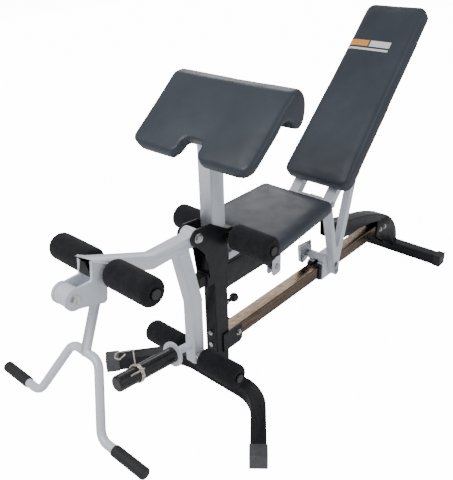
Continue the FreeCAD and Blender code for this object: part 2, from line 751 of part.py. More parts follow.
near_x = (strut_x0, strut_x0 + 40.0)
far_x = (-112.0, -72.0)
strut_x = (strut_x0, strut_x0 + strut_tube)
back_bars = []
back_holes = []
for x0, x1 in (near_x, far_x):
    outer, inner = tube(on_back(0, 0), on_back(640, 0), strut_tube, x0, x1)
    back_bars.append(outer)
    back_bars.append(cyl_x(back_pivot[0], back_pivot[1], 15, x0, x1))
    back_holes.append(along(on_back(20, 0), on_back(641, 0), -12.5, 12.5, x0 + 2.5, x1 - 2.5))
for s in (150.0, 560.0):
    p = on_back(s, 0)
    q = on_back(s + 30, 0)
    back_bars.append(along(p, q, -12, 12, far_x[1] - 1, near_x[0] + 1))
left_dir = ((carriage_pin[0] - back_pivot[0]), (carriage_pin[1] - back_pivot[1]))
left_len = math.hypot(*left_dir)
lu = (left_dir[0] / left_len, left_dir[1] / left_len)
foot_end = (carriage_pin[0] + lu[0] * 28, carriage_pin[1] + lu[1] * 28)
strut_top = on_back(302, 0)
left_bar = along(back_pivot, foot_end, -15, 15, strut_x[0], strut_x[1])
left_hole = along(on_back(0, 0), (carriage_pin[0] - lu[0] * 34, carriage_pin[1] - lu[1] * 34),
                  -12.5, 12.5, strut_x[0] + 2.5, strut_x[1] - 2.5)
right_bar = along((carriage_pin[0] + 4, carriage_pin[1] + 4), strut_top, -15, 15,
                  strut_x[0], strut_x[1])
right_hole = along((carriage_pin[0] + 22, carriage_pin[1] + 74), strut_top, -12.5, 12.5,
                   strut_x[0] + 2.5, strut_x[1] - 2.5)
foot_round = cyl_x(foot_end[0], foot_end[1], 15, strut_x[0], strut_x[1])
web_low = prism([(carriage_pin[0] - 14, carriage_pin[1] + 8),
                 (carriage_pin[0] + 24, carriage_pin[1] + 8),
                 (carriage_pin[0] + 26, carriage_pin[1] + 88),
                 (carriage_pin[0] - 24, carriage_pin[1] + 88)], strut_x[0], strut_x[1])
back_frame = fuse_all(back_bars + [left_bar, right_bar, foot_round, web_low])
slot_half = carriage_pin_r + 4.6
slot_top = (carriage_pin[0] - lu[0] * 14, carriage_pin[1] - lu[1] * 14)
slot_low = (carriage_pin[0] + lu[0] * 27, carriage_pin[1] + lu[1] * 27)
slot = along(slot_top, slot_low, -slot_half, slot_half, 20, 100)
slot = slot.fuse(cyl_x(slot_top[0], slot_top[1], slot_half, 20, 100))
slot = slot.fuse(cyl_x(slot_low[0], slot_low[1], slot_half, 20, 100))
back_keep = fuse_all([web_low, cyl_x(back_pivot[0], back_pivot[1], 15, *near_x)])
back_frame = cut_all(back_frame, [h.cut(back_keep) for h in back_holes + [left_hole, right_hole]])
back_frame = cut_all(back_frame, [
    slot,
    cyl_x(back_pivot[0], back_pivot[1], back_pivot_r + run_fit, -150, 150),
])
write("back_frame", back_frame)
write("back_pivot_bolt", hex_bolt_x(back_pivot[0], back_pivot[1], back_pivot_r,
                                    far_x[0] - gap, near_x[1] + gap, 10, 6, 6))


def back_slab(s0, s1, half0, half1, d0, d1, corner):
    """A tapered slab standing off the back frame."""
    loop = [V(-half0, s0, 0), V(half0, s0, 0), V(half1, s1, 0), V(-half1, s1, 0)]
    loop.append(loop[0])
    slab = Part.Face(Part.makePolygon(loop)).extrude(V(0, 0, d1 - d0))
    slab = round_edges(slab, corner, lambda e: abs(e.tangentAt(e.FirstParameter).z) > 0.9)
    slab.translate(V(0, 0, d0))
    slab.rotate(V(0, 0, 0), V(1, 0, 0), 90 - back_lean)
    slab.translate(V(0, back_pivot[0], back_pivot[1]))
    return slab


back_front = 83.0
back_pad = back_slab(48, 48 + back_pad_length, back_pad_width_low / 2, back_pad_width_high / 2,
                     back_front - back_pad_thick, back_front, back_pad_corner)
write("back_pad", back_pad)
back_board = back_slab(64, 32 + back_pad_length, back_pad_width_low / 2 - 14,
                       back_pad_width_high / 2 - 14, strut_tube / 2 + gap,
                       back_front - back_pad_thick - gap, back_pad_corner - 10)
write("back_board", back_board)

# ---- carriage ------------------------------------------------------------------------------------
lining = 5.4
in_x = rail_half_x + gap
shell_x = in_x + lining
shell_lo = rail_bottom - gap - lining
shell_hi = rail_top + gap + lining
shell = box(-carriage_half_x, carriage_half_x, carriage_front, carriage_rear,
            shell_lo - 5, shell_hi + 5)
shell = round_edges(shell, 4, lambda e: abs(e.tangentAt(e.FirstParameter).y) > 0.9)
shell_room = box(-shell_x - gap / 3, shell_x + gap / 3, carriage_front - 1, carriage_rear + 1,
                 shell_lo - gap / 3, shell_hi + gap / 3)
latch_tube = cyl_x(latch_pivot[0], latch_pivot[1], 18, -38, 35)
latch_bore = cyl_x(latch_pivot[0], latch_pivot[1], 11.5, -60, 30)
pin = cyl_x(carriage_pin[0], carriage_pin[1], carriage_pin_r, carriage_half_x - 2, 68.2)
carriage = fuse_all([shell, latch_tube])
cam_window = box(-9, 9, carriage_front - 6, 622, shell_hi - 8, latch_pivot[1] - 2)
carriage = cut_all(carriage, [shell_room, latch_bore, cam_window])
carriage = carriage.fuse(pin)
write("carriage", carriage)
pin_cap = cyl_x(carriage_pin[0], carriage_pin[1], 13, 68.0, 73.0)
pin_cap = pin_cap.cut(cyl_x(carriage_pin[0], carriage_pin[1], carriage_pin_r, 60, 68.2))
write("carriage_pin_cap", pin_cap)

for name, y0, y1 in (("liner_front", carriage_front - 13, carriage_front + 28),
                     ("liner_rear", carriage_rear - 28, carriage_rear + 10)):
    liner = box(-shell_x, shell_x, y0, y1, shell_lo, shell_hi)
    liner = liner.cut(box(-in_x, in_x, y0 - 1, y1 + 1, rail_bottom - gap, rail_top + gap))
    liner = liner.cut(box(-10, 10, 560, 622, rail_top - 2, 230))
    write(name, liner)

shaft = cyl_x(latch_pivot[0], latch_pivot[1], 11.5 - run_fit, -46, 28)
cam = prism([(latch_pivot[0] - 9, latch_pivot[1]), (latch_pivot[0] - 5, rail_top + 0.3),
             (latch_pivot[0] + 5, rail_top + 2.5), (latch_pivot[0] + 7, latch_pivot[1])],
            -7, 7)
handle = prism([(533, 291), (620, 282), (628, 232), (590, 200), (566, 197), (541, 216)],
               -50, -46)
handle_lip = prism([(530, 291), (534, 291), (543, 216), (539, 216)], -50, -36)
write("carriage_latch", fuse_all([shaft, cam, handle, handle_lip]))
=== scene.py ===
import json
import math

import bmesh
import bpy
import numpy as np
from mathutils import Matrix, Vector, noise


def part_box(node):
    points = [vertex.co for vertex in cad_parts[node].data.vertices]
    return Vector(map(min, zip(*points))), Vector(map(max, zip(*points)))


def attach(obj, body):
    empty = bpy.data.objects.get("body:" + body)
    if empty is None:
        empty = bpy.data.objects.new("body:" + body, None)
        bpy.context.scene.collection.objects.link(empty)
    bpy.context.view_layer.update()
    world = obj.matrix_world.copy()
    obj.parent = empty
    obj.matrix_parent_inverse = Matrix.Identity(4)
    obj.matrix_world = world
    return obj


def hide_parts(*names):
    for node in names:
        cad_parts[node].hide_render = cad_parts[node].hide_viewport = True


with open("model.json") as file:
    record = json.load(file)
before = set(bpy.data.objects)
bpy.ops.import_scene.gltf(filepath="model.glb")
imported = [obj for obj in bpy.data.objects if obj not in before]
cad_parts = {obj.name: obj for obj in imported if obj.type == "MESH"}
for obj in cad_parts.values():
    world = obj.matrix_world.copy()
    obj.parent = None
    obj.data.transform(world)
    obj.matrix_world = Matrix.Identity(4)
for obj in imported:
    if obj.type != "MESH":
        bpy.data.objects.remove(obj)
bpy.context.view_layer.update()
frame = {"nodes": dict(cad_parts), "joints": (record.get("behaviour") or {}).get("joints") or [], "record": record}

nodes = frame["nodes"]
joints = {j["name"]: j for j in frame["joints"]}
print("frame loaded:", len(nodes), "pieces")


def pivotOf(jointName):
    return Vector(joints[jointName]["pos_m"])


def mm(*values):
    return Vector([v / 1000 for v in values])


# the front post stands where the middle of its two bolts is
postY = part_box("post_bolt_1")[1].y + 0.025


def benchPoint(x, y, z):
    # millimetres, measured along the bench from the middle of the front post
    return Vector((x / 1000, postY + y / 1000, z / 1000))


# camera, floor and light

view = dict(place=(1.12303, -1.50345, 1.42743), turn=42.25, drop=28.28, roll=-1.66, lens=44.874)
studio = dict(floorLow=(0.95, 0.95, 0.95, 1), floorHigh=(0.98, 0.98, 0.98, 1), floorGlow=14.0,
              worldTone=(0.96, 0.97, 1.0), worldPower=0.5, keyPower=92.0, fillPower=24.0,
              backPower=30.0)


def aimCamera():
    turn, drop, roll = (math.radians(view[k]) for k in ("turn", "drop", "roll"))
    ahead = Vector((-math.sin(turn) * math.cos(drop), math.cos(turn) * math.cos(drop),
                    -math.sin(drop)))
    right = Vector((math.cos(turn), math.sin(turn), 0))
    up = right.cross(ahead)
    tiltedRight = right * math.cos(roll) + up * math.sin(roll)
    tiltedUp = up * math.cos(roll) - right * math.sin(roll)
    lens = bpy.data.cameras.new("benchCamera")
    lens.sensor_fit = "AUTO"
    lens.sensor_width = 36
    lens.lens = view["lens"]
    lens.clip_end = 50
    camera = bpy.data.objects.new("benchCamera", lens)
    bpy.context.scene.collection.objects.link(camera)
    axes = Matrix((tiltedRight, tiltedUp, -ahead)).transposed().to_4x4()
    camera.matrix_world = Matrix.Translation(Vector(view["place"])) @ axes
    bpy.context.scene.camera = camera


def softLamp(name, place, target, width, height, power, tone=(1, 1, 1)):
    lamp = bpy.data.lights.new(name, "AREA")
    lamp.shape = "RECTANGLE"
    lamp.size = width
    lamp.size_y = height
    lamp.energy = power
    lamp.color = tone
    thing = bpy.data.objects.new(name, lamp)
    bpy.context.scene.collection.objects.link(thing)
    thing.location = place
    aim = Vector(target) - Vector(place)
    thing.rotation_euler = aim.to_track_quat("-Z", "Y").to_euler()


def seenGlow(tree, otherwise):
    path = tree.nodes.new("ShaderNodeLightPath")
    level = tree.nodes.new("ShaderNodeMapRange")
    level.inputs["To Min"].default_value = otherwise
    level.inputs["To Max"].default_value = studio["floorGlow"]
    tree.links.new(path.outputs["Is Camera Ray"], level.inputs["Value"])
    return level.outputs["Result"]


def lightStudio():
    world = bpy.data.worlds.new("studioWorld")
    world.use_nodes = True
    glow = world.node_tree.nodes["Background"]
    glow.inputs["Color"].default_value = (*studio["worldTone"], 1)
    world.node_tree.links.new(seenGlow(world.node_tree, studio["worldPower"]),
                              glow.inputs["Strength"])
    bpy.context.scene.world = world
    softLamp("keyLamp", (-0.6, -2.6, 3.4), (0, 0.1, 0.5), 2.6, 2.0, studio["keyPower"])
    softLamp("fillLamp", (3.2, 0.4, 2.2), (0, 0.2, 0.4), 2.4, 1.8, studio["fillPower"],
             (0.96, 0.98, 1.0))
    softLamp("backLamp", (-2.4, 2.8, 2.6), (0, 0.2, 0.5), 2.2, 1.6, studio["backPower"])


def layFloor():
    mesh = bpy.data.meshes.new("studioFloor")
    half = 9.0
    mesh.from_pydata([(-half, -half, 0), (half, -half, 0), (half, half, 0), (-half, half, 0)],
                     [], [(0, 1, 2, 3)])
    floor = bpy.data.objects.new("studioFloor", mesh)
    bpy.context.scene.collection.objects.link(floor)
    mat, tree, skin, place = startFinish("floorPaint")
    cloud = grain(tree, place, 1.6, 2)
    tone = blendTones(tree, cloud, studio["floorLow"], studio["floorHigh"], 0.3, 0.7)
    tree.links.new(tone, skin.inputs["Base Color"])
    # the floor glows white for the camera alone, so it adds no light to the bench
    skin.inputs["Emission Color"].default_value = (1, 1, 1, 1)
    tree.links.new(seenGlow(tree, 0.0), skin.inputs["Emission Strength"])
    skin.inputs["Roughness"].default_value = 0.8
    skin.inputs["Specular IOR Level"].default_value = 0.1
    mesh.materials.append(mat)


aimCamera()
lightStudio()
print("camera and lamps set")

# node helpers for the finishes

def startFinish(name):
    mat = bpy.data.materials.new(name)
    mat.use_nodes = True
    tree = mat.node_tree
    tree.nodes.clear()
    out = tree.nodes.new("ShaderNodeOutputMaterial")
    skin = tree.nodes.new("ShaderNodeBsdfPrincipled")
    tree.links.new(skin.outputs["BSDF"], out.inputs["Surface"])
    coords = tree.nodes.new("ShaderNodeTexCoord")
    return mat, tree, skin, coords.outputs["Object"]


def stretched(tree, place, scale):
    mapping = tree.nodes.new("ShaderNodeMapping")
    mapping.inputs["Scale"].default_value = scale
    tree.links.new(place, mapping.inputs["Vector"])
    return mapping.outputs["Vector"]


def grain(tree, place, scale, detail=3, roughness=0.55, distortion=0.0):
    tex = tree.nodes.new("ShaderNodeTexNoise")
    tex.inputs["Scale"].default_value = scale
    tex.inputs["Detail"].default_value = detail
    tex.inputs["Roughness"].default_value = roughness
    tex.inputs["Distortion"].default_value = distortion
    tree.links.new(place, tex.inputs["Vector"])
    return tex.outputs["Fac"]


def cells(tree, place, scale, feature="DISTANCE_TO_EDGE"):
    tex = tree.nodes.new("ShaderNodeTexVoronoi")
    tex.feature = feature
    tex.inputs["Scale"].default_value = scale
    tree.links.new(place, tex.inputs["Vector"])
    return tex.outputs["Distance"]


def blendTones(tree, amount, first, second, low=0.35, high=0.65):
    ramp = tree.nodes.new("ShaderNodeValToRGB")
    ramp.color_ramp.elements[0].position = low
    ramp.color_ramp.elements[0].color = first
    ramp.color_ramp.elements[1].position = high
    ramp.color_ramp.elements[1].color = second
    tree.links.new(amount, ramp.inputs["Fac"])
    return ramp.outputs["Color"]


def remap(tree, amount, low, high, fromLow=0.3, fromHigh=0.7):
    node = tree.nodes.new("ShaderNodeMapRange")
    node.inputs["From Min"].default_value = fromLow
    node.inputs["From Max"].default_value = fromHigh
    node.inputs["To Min"].default_value = low
    node.inputs["To Max"].default_value = high
    tree.links.new(amount, node.inputs["Value"])
    return node.outputs["Result"]


def overlay(tree, amount, base, top):
    mix = tree.nodes.new("ShaderNodeMix")
    mix.data_type = "RGBA"
    tree.links.new(amount, mix.inputs["Factor"])
    tree.links.new(base, mix.inputs[6])
    mix.inputs[7].default_value = top
    return mix.outputs[2]


def raised(tree, height, strength, depth, under=None):
    bump = tree.nodes.new("ShaderNodeBump")
    bump.inputs["Strength"].default_value = strength
    bump.inputs["Distance"].default_value = depth
    tree.links.new(height, bump.inputs["Height"])
    if under is not None:
        tree.links.new(under, bump.inputs["Normal"])
    return bump.outputs["Normal"]


# finishes

def printedMarks(tree, place, marks, base):
    # plain bars printed on the face of the back pad, in place of any lettering
    spin = tree.nodes.new("ShaderNodeMapping")
    spin.vector_type = "TEXTURE"
    spin.inputs["Location"].default_value = pivotOf("back_recline")
    spin.inputs["Rotation"].default_value = (math.radians(90 - backPad["lean"]), 0, 0)
    tree.links.new(place, spin.inputs["Vector"])
    parts = tree.nodes.new("ShaderNodeSeparateXYZ")
    tree.links.new(spin.outputs["Vector"], parts.inputs["Vector"])
    for mark in marks:
        inside = []
        for axis, middle, half in (("X", mark["across"], mark["wide"] / 2),
                                   ("Y", mark["up"], mark["tall"] / 2)):
            test = tree.nodes.new("ShaderNodeMath")
            test.operation = "COMPARE"
            test.inputs[1].default_value = middle / 1000
            test.inputs[2].default_value = half / 1000
            tree.links.new(parts.outputs[axis], test.inputs[0])
            inside.append(test.outputs["Value"])
        both = tree.nodes.new("ShaderNodeMath")
        both.operation = "MULTIPLY"
        tree.links.new(inside[0], both.inputs[0])
        tree.links.new(inside[1], both.inputs[1])
        base = overlay(tree, both.outputs["Value"], base, mark["tone"])
    return base


def vinylFinish(name, dark, light, marks=()):
    mat, tree, skin, place = startFinish(name)
    broad = grain(tree, place, 4, 3, 0.5, 0.3)
    tone = blendTones(tree, broad, dark, light, 0.25, 0.75)
    if marks:
        tone = printedMarks(tree, place, marks, tone)
    tree.links.new(tone, skin.inputs["Base Color"])
    tree.links.new(remap(tree, grain(tree, place, 22, 5), 0.34, 0.46), skin.inputs["Roughness"])
    skin.inputs["Specular IOR Level"].default_value = 0.38
    pebble = raised(tree, cells(tree, place, 620), 0.35, 0.00025)
    crease = raised(tree, grain(tree, place, 46, 4, 0.6, 0.8), 0.1, 0.0005, pebble)
    tree.links.new(crease, skin.inputs["Normal"])
    return mat


def foamFinish():
    mat, tree, skin, place = startFinish("rollerFoam")
    mottled = grain(tree, place, 55, 5, 0.65)
    tone = blendTones(tree, mottled, (0.008, 0.008, 0.010, 1), (0.017, 0.017, 0.021, 1))
    tree.links.new(tone, skin.inputs["Base Color"])
    skin.inputs["Roughness"].default_value = 0.92
    skin.inputs["Sheen Weight"].default_value = 0.06
    skin.inputs["Sheen Roughness"].default_value = 0.6
    skin.inputs["Specular IOR Level"].default_value = 0.15
    pores = raised(tree, cells(tree, place, 520, "F1"), 0.5, 0.0004)
    tree.links.new(raised(tree, mottled, 0.4, 0.001, pores), skin.inputs["Normal"])
    return mat


def paintFinish(name, dark, light, scuff, roughness, metallic, coat, shine):
    mat, tree, skin, place = startFinish(name)
    drift = grain(tree, place, 5, 4, 0.5)
    base = blendTones(tree, drift, dark, light, 0.3, 0.7)
    scratches = grain(tree, stretched(tree, place, (260, 40, 90)), 1.0, 6, 0.7, 0.6)
    marks = remap(tree, scratches, 0.0, 0.45, 0.66, 0.8)
    tree.links.new(overlay(tree, marks, base, scuff), skin.inputs["Base Color"])
    tree.links.new(remap(tree, grain(tree, place, 30, 5), roughness, roughness + 0.14),
                   skin.inputs["Roughness"])
    skin.inputs["Metallic"].default_value = metallic
    skin.inputs["Coat Weight"].default_value = coat
    skin.inputs["Coat Roughness"].default_value = 0.15
    skin.inputs["Specular IOR Level"].default_value = shine
    peel = raised(tree, grain(tree, place, 420, 2), 0.12, 0.0004)
    tree.links.new(raised(tree, drift, 0.1, 0.001, peel), skin.inputs["Normal"])
    return mat


def railReflectionTintFinish():
    mat, tree, skin, place = startFinish("railPlatePaintedReflection")
    # the chrome's brown, streaked base colour is a painted reflection of a brown wooden floor; the same streaks
    # also set the bump
    along = stretched(tree, place, (150, 7, 150))
    streaksAndReflection = grain(tree, along, 1.0, 6, 0.65, 1.2)
    tone = blendTones(tree, streaksAndReflection, (0.085, 0.055, 0.034, 1), (0.26, 0.195, 0.145, 1), 0.3, 0.72)
    tree.links.new(tone, skin.inputs["Base Color"])
    skin.inputs["Metallic"].default_value = 1.0
    tree.links.new(remap(tree, grain(tree, place, 60, 5), 0.14, 0.34), skin.inputs["Roughness"])
    tree.links.new(raised(tree, streaksAndReflection, 0.25, 0.0006), skin.inputs["Normal"])
    return mat


def platedFinish(name, dark, light, low, high):
    mat, tree, skin, place = startFinish(name)
    patches = grain(tree, place, 90, 4, 0.6)
    tree.links.new(blendTones(tree, patches, dark, light), skin.inputs["Base Color"])
    skin.inputs["Metallic"].default_value = 1.0
    tree.links.new(remap(tree, patches, low, high), skin.inputs["Roughness"])
    tree.links.new(raised(tree, grain(tree, place, 700, 2), 0.15, 0.0002),
                   skin.inputs["Normal"])
    return mat


def mouldedFinish(name, dark, light, low, high, texture=500):
    mat, tree, skin, place = startFinish(name)
    cloud = grain(tree, place, 40, 4)
    tree.links.new(blendTones(tree, cloud, dark, light), skin.inputs["Base Color"])
    tree.links.new(remap(tree, cloud, low, high), skin.inputs["Roughness"])
    tree.links.new(raised(tree, grain(tree, place, texture, 3), 0.3, 0.0003),
                   skin.inputs["Normal"])
    return mat


def coveredBoardFinish():
    mat, tree, skin, place = startFinish("boardCloth")
    weave = cells(tree, place, 750, "F1")
    cloud = grain(tree, place, 18, 4)
    tree.links.new(blendTones(tree, cloud, (0.012, 0.012, 0.014, 1), (0.03, 0.03, 0.033, 1)),
                   skin.inputs["Base Color"])
    skin.inputs["Roughness"].default_value = 0.88
    skin.inputs["Specular IOR Level"].default_value = 0.2
    tree.links.new(raised(tree, weave, 0.6, 0.0004), skin.inputs["Normal"])
    return mat


backPad = dict(lowHalf=142, highHalf=125, start=48, length=760, thick=56, lean=44.4, front=83,
               corner=32, inset=2, soften=14)
printTone = dict(orange=(0.85, 0.36, 0.08, 1), grey=(0.78, 0.79, 0.80, 1))
backMarks = [dict(across=-78, up=622, wide=84, tall=26, tone=printTone["orange"]),
             dict(across=12, up=622, wide=84, tall=26, tone=printTone["grey"]),
             dict(across=-33, up=597, wide=174, tall=9, tone=printTone["grey"])]
vinylTones = ((0.034, 0.041, 0.054, 1), (0.050, 0.060, 0.077, 1))
finish = {
    "upholstery": vinylFinish("padVinyl", *vinylTones),
    "foam": foamFinish(),
    "black_paint": paintFinish("blackPaint", (0.006, 0.006, 0.009, 1), (0.011, 0.011, 0.015, 1),
                               (0.05, 0.05, 0.055, 1), 0.3, 0.0, 0.04, 0.3),
    "silver_paint": paintFinish("silverPaint", (0.68, 0.72, 0.79, 1), (0.78, 0.82, 0.88, 1),
                                (0.48, 0.49, 0.52, 1), 0.36, 0.1, 0.2, 0.5),
    "rail_chrome": railReflectionTintFinish(),
    "zinc": platedFinish("boltZinc", (0.40, 0.40, 0.41, 1), (0.74, 0.74, 0.74, 1), 0.16, 0.34),
    "grip_rubber": mouldedFinish("gripRubber", (0.010, 0.010, 0.012, 1), (0.022, 0.022, 0.025, 1),
                                 0.55, 0.75, 900),
    "bumper_rubber": mouldedFinish("bumperRubber", (0.010, 0.010, 0.010, 1),
                                   (0.020, 0.020, 0.020, 1), 0.6, 0.8),
    "cap_plastic": mouldedFinish("capPlastic", (0.060, 0.061, 0.070, 1), (0.085, 0.087, 0.096, 1),
                                 0.4, 0.55),
    "liner_plastic": mouldedFinish("linerPlastic", (0.010, 0.010, 0.012, 1),
                                   (0.020, 0.020, 0.023, 1), 0.32, 0.5),
    "sleeve_plastic": mouldedFinish("sleevePlastic", (0.008, 0.008, 0.010, 1),
                                    (0.016, 0.016, 0.019, 1), 0.2, 0.34),
    "board": coveredBoardFinish(),
    "spring_steel": platedFinish("springSteel", (0.52, 0.40, 0.31, 1), (0.86, 0.82, 0.78, 1),
                                 0.1, 0.25),
}
slotOf = {s["node"]: s["material_slot"] for s in frame["record"]["subparts"]}
bodyOf = {n: b for b, names in frame["record"]["behaviour"]["bodies"].items() for n in names}
print("finishes made:", len(finish))


# shared piece helpers

def newPiece(name, mesh, body, slot):
    piece = bpy.data.objects.new(name, mesh)
    bpy.context.scene.collection.objects.link(piece)
    mesh.materials.clear()
    mesh.materials.append(finish[slot])
    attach(piece, body)
    return piece


def meshFrom(name, bm, sharpest=38):
    mesh = bpy.data.meshes.new(name)
    bm.to_mesh(mesh)
    bm.free()
    mesh.shade_smooth()
    mesh.set_sharp_from_angle(angle=math.radians(sharpest))
    return mesh


def faceWidth(face):
    return 2 * face.calc_area() / max(face.calc_perimeter(), 1e-9)


# welded and pressed metal: the frame's own shape with its long edges rounded

edgeRound = dict(base_frame=3.2, rear_frame=3.0, rail=1.2, lever=3.0, seat_frame=2.0,
                 back_frame=2.6, carriage=1.6, arm_post=2.6, curl_bar=1.2, carriage_latch=0.9,
                 lever_bumper=1.5, base_cap_near=2.4, base_cap_far=2.4, rear_cap_near=1.6,
                 rear_cap_far=1.6, seat_board=1.5, back_board=2.0)


def softenedNode(nodeName, roundBy):
    source = nodes[nodeName]
    bm = bmesh.new()
    bm.from_mesh(source.data)
    bmesh.ops.remove_doubles(bm, verts=bm.verts, dist=2e-5)
    bmesh.ops.dissolve_limit(bm, angle_limit=math.radians(0.6), verts=bm.verts, edges=bm.edges,
                             use_dissolve_boundaries=False)
    offset = roundBy / 1000
    chosen = []
    for edge in bm.edges:
        if len(edge.link_faces) != 2 or not edge.is_convex:
            continue
        if edge.calc_face_angle(0) < math.radians(38) or edge.calc_length() < 4 * offset:
            continue
        if min(faceWidth(f) for f in edge.link_faces) < 2.3 * offset:
            continue
        chosen.append(edge)
    if chosen:
        bmesh.ops.bevel(bm, geom=chosen, offset=offset, offset_type="OFFSET", segments=3,
                        profile=0.5, affect="EDGES", clamp_overlap=False)
    mesh = meshFrom(nodeName + "_smooth", bm)
    piece = newPiece(nodeName + "_finished", mesh, bodyOf[nodeName], slotOf[nodeName])
    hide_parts(nodeName)


for nodeName, roundBy in edgeRound.items():
    softenedNode(nodeName, roundBy)
print("metal rounded:", len(edgeRound))


# pads

padPressure = dict(push=2.4, frames=16, cap=0.006, evenRounds=16, voxel=0.006, fill=0.85)
seatPad = dict(frontHalf=177, rearHalf=155, front=92, rear=456, top=550, thick=42, slope=2.9,
               corner=26, inset=3, soften=13)
armPad = dict(half=231, low=(-109, 858), high=(104, 1036), thick=38, notchHalf=40, notchDeep=65,
              soften=12)


def roundedOutline(corners, radius, steps=7):
    # corner points of a plan outline, each turned into a short arc
    count = len(corners)
    ring = []
    for i, corner in enumerate(corners):
        here = Vector(corner)
        before = (Vector(corners[i - 1]) - here).normalized()
        after = (Vector(corners[(i + 1) % count]) - here).normalized()
        half = before.angle(after) / 2
        r = radius[i] if isinstance(radius, (list, tuple)) else radius
        if r <= 0:
            ring.append(here)
            continue
        reach = r / math.tan(half)
        centre = here + (before + after).normalized() * (r / math.sin(half))
        a = here + before * reach - centre
        b = here + after * reach - centre
        turn = a.angle_signed(b)
        for s in range(steps + 1):
            t = turn * s / steps
            c, n = math.cos(-t), math.sin(-t)
            ring.append(centre + Vector((a.x * c - a.y * n, a.x * n + a.y * c)))
    return ring


def slabFrom(ring, low, high, soften):
    # a thick slab from a plan ring, its upper rim stepped in to a round edge
    bm = bmesh.new()
    middle = sum(ring, Vector((0, 0))) / len(ring)
    levels = [(low, 2.0), (low + 2, 0.0)]
    for step in range(6):
        a = math.pi / 2 * step / 5
        levels.append((high - soften + soften * math.sin(a), soften * (1 - math.cos(a))))
    loops = []
    for height, inset in levels:
        loop = []
        for i, p in enumerate(ring):
            before, after = ring[i - 1], ring[(i + 1) % len(ring)]
            edge = (after - before).normalized()
            inward = Vector((-edge.y, edge.x))
            if inward.dot(middle - p) < 0:
                inward = -inward
            q = p + inward * inset
            loop.append(bm.verts.new((q.x / 1000, q.y / 1000, height / 1000)))
        loops.append(loop)
    for lower, upper in zip(loops, loops[1:]):
        for i in range(len(ring)):
            j = (i + 1) % len(ring)
            bm.faces.new((lower[i], lower[j], upper[j], upper[i]))
    bm.faces.new(list(reversed(loops[0])))
    bm.faces.new(loops[-1])
    bmesh.ops.recalc_face_normals(bm, faces=bm.faces)
    return bm


def remeshed(mesh, name, voxel):
    thing = bpy.data.objects.new(name + "_rough", mesh)
    bpy.context.scene.collection.objects.link(thing)
    mod = thing.modifiers.new("even", "REMESH")
    mod.mode = "VOXEL"
    mod.voxel_size = voxel
    smooth = thing.modifiers.new("settle", "SMOOTH")
    smooth.factor = 0.5
    smooth.iterations = 6
    graph = bpy.context.evaluated_depsgraph_get()
    even = bpy.data.meshes.new_from_object(thing.evaluated_get(graph))
    bpy.data.objects.remove(thing)
    return even


def evened(moved, mesh, rounds):
    # a taut cover: each vertex's travel is averaged with its neighbours'
    ends = np.array([tuple(e.vertices) for e in mesh.edges])
    count = np.bincount(ends.ravel(), minlength=len(moved))[:, None]
    for step in range(rounds):
        total = np.zeros_like(moved)
        np.add.at(total, ends[:, 0], moved[ends[:, 1]])
        np.add.at(total, ends[:, 1], moved[ends[:, 0]])
        moved = (moved + total / np.maximum(count, 1)) / 2
    return moved


def stuffed(mesh, name, isHeld):
    # swells the soft side with a short cloth run and keeps the board side where it is
    thing = bpy.data.objects.new(name + "_swell", mesh)
    bpy.context.scene.collection.objects.link(thing)
    start = [v.co.copy() for v in mesh.vertices]
    hold = thing.vertex_groups.new(name="board")
    for v in mesh.vertices:
        weight = isHeld(v.co)
        if weight > 0:
            hold.add([v.index], weight, "REPLACE")
    mod = thing.modifiers.new("swell", "CLOTH")
    cloth = mod.settings
    cloth.quality = 4
    cloth.use_pressure = True
    cloth.uniform_pressure_force = padPressure["push"]
    cloth.tension_stiffness = 40
    cloth.compression_stiffness = 40
    cloth.bending_stiffness = 8.0
    cloth.effector_weights.gravity = 0
    cloth.vertex_group_mass = "board"
    scene = bpy.context.scene
    scene.frame_start = 1
    scene.frame_end = padPressure["frames"]
    mod.point_cache.frame_start = 1
    mod.point_cache.frame_end = padPressure["frames"]
    for number in range(1, padPressure["frames"] + 1):
        scene.frame_set(number)
    graph = bpy.context.evaluated_depsgraph_get()
    swollen = bpy.data.meshes.new_from_object(thing.evaluated_get(graph))
    cap = padPressure["cap"]
    moved = np.array([tuple(v.co - was) for v, was in zip(swollen.vertices, start)])
    moved = evened(moved, swollen, padPressure["evenRounds"])
    for v, was, shift in zip(swollen.vertices, start, moved):
        shift = Vector(shift)
        if shift.length > 1e-7:
            v.co = was + shift.normalized() * cap * math.tanh(shift.length / cap)
    bpy.data.objects.remove(thing)
    scene.frame_set(1)
    return swollen


def finerPad(name, mesh, place, body, crumple, marks=()):
    thing = bpy.data.objects.new(name + "_fine", mesh)
    bpy.context.scene.collection.objects.link(thing)
    mod = thing.modifiers.new("finer", "SUBSURF")
    mod.levels = mod.render_levels = 1
    graph = bpy.context.evaluated_depsgraph_get()
    fine = bpy.data.meshes.new_from_object(thing.evaluated_get(graph))
    bpy.data.objects.remove(thing)
    for v in fine.vertices:
        v.co += crumple(v.co)
    fine.transform(place)
    fine.shade_smooth()
    piece = newPiece(name, fine, body, "upholstery")
    if marks:
        fine.materials[0] = vinylFinish(name + "Vinyl", *vinylTones, marks)
    return piece


def cornerPleats(corners, reach, depth, low, high):
    # shallow gathers where the cover is pulled round each corner of the board
    spots = [Vector((x / 1000, y / 1000)) for x, y in corners]

    def crumple(p):
        shift = Vector((0, 0, 0))
        wave = noise.noise(p * 9.0) * 0.0011 + noise.noise(p * 24.0) * 0.0004
        level = min(max((p.z - low) / (high - low), 0), 1)
        shift.z += wave * level
        side = 1 - level
        for spot in spots:
            away = Vector((p.x, p.y)) - spot
            near = max(0.0, 1 - away.length / reach)
            if near > 0 and side > 0.05:
                angle = math.atan2(away.y, away.x)
                fold = math.cos(angle * 16) * depth * near * side
                out = away.normalized() if away.length > 1e-6 else Vector((0, 0))
                shift.x += out.x * fold
                shift.y += out.y * fold
        return shift

    return crumple


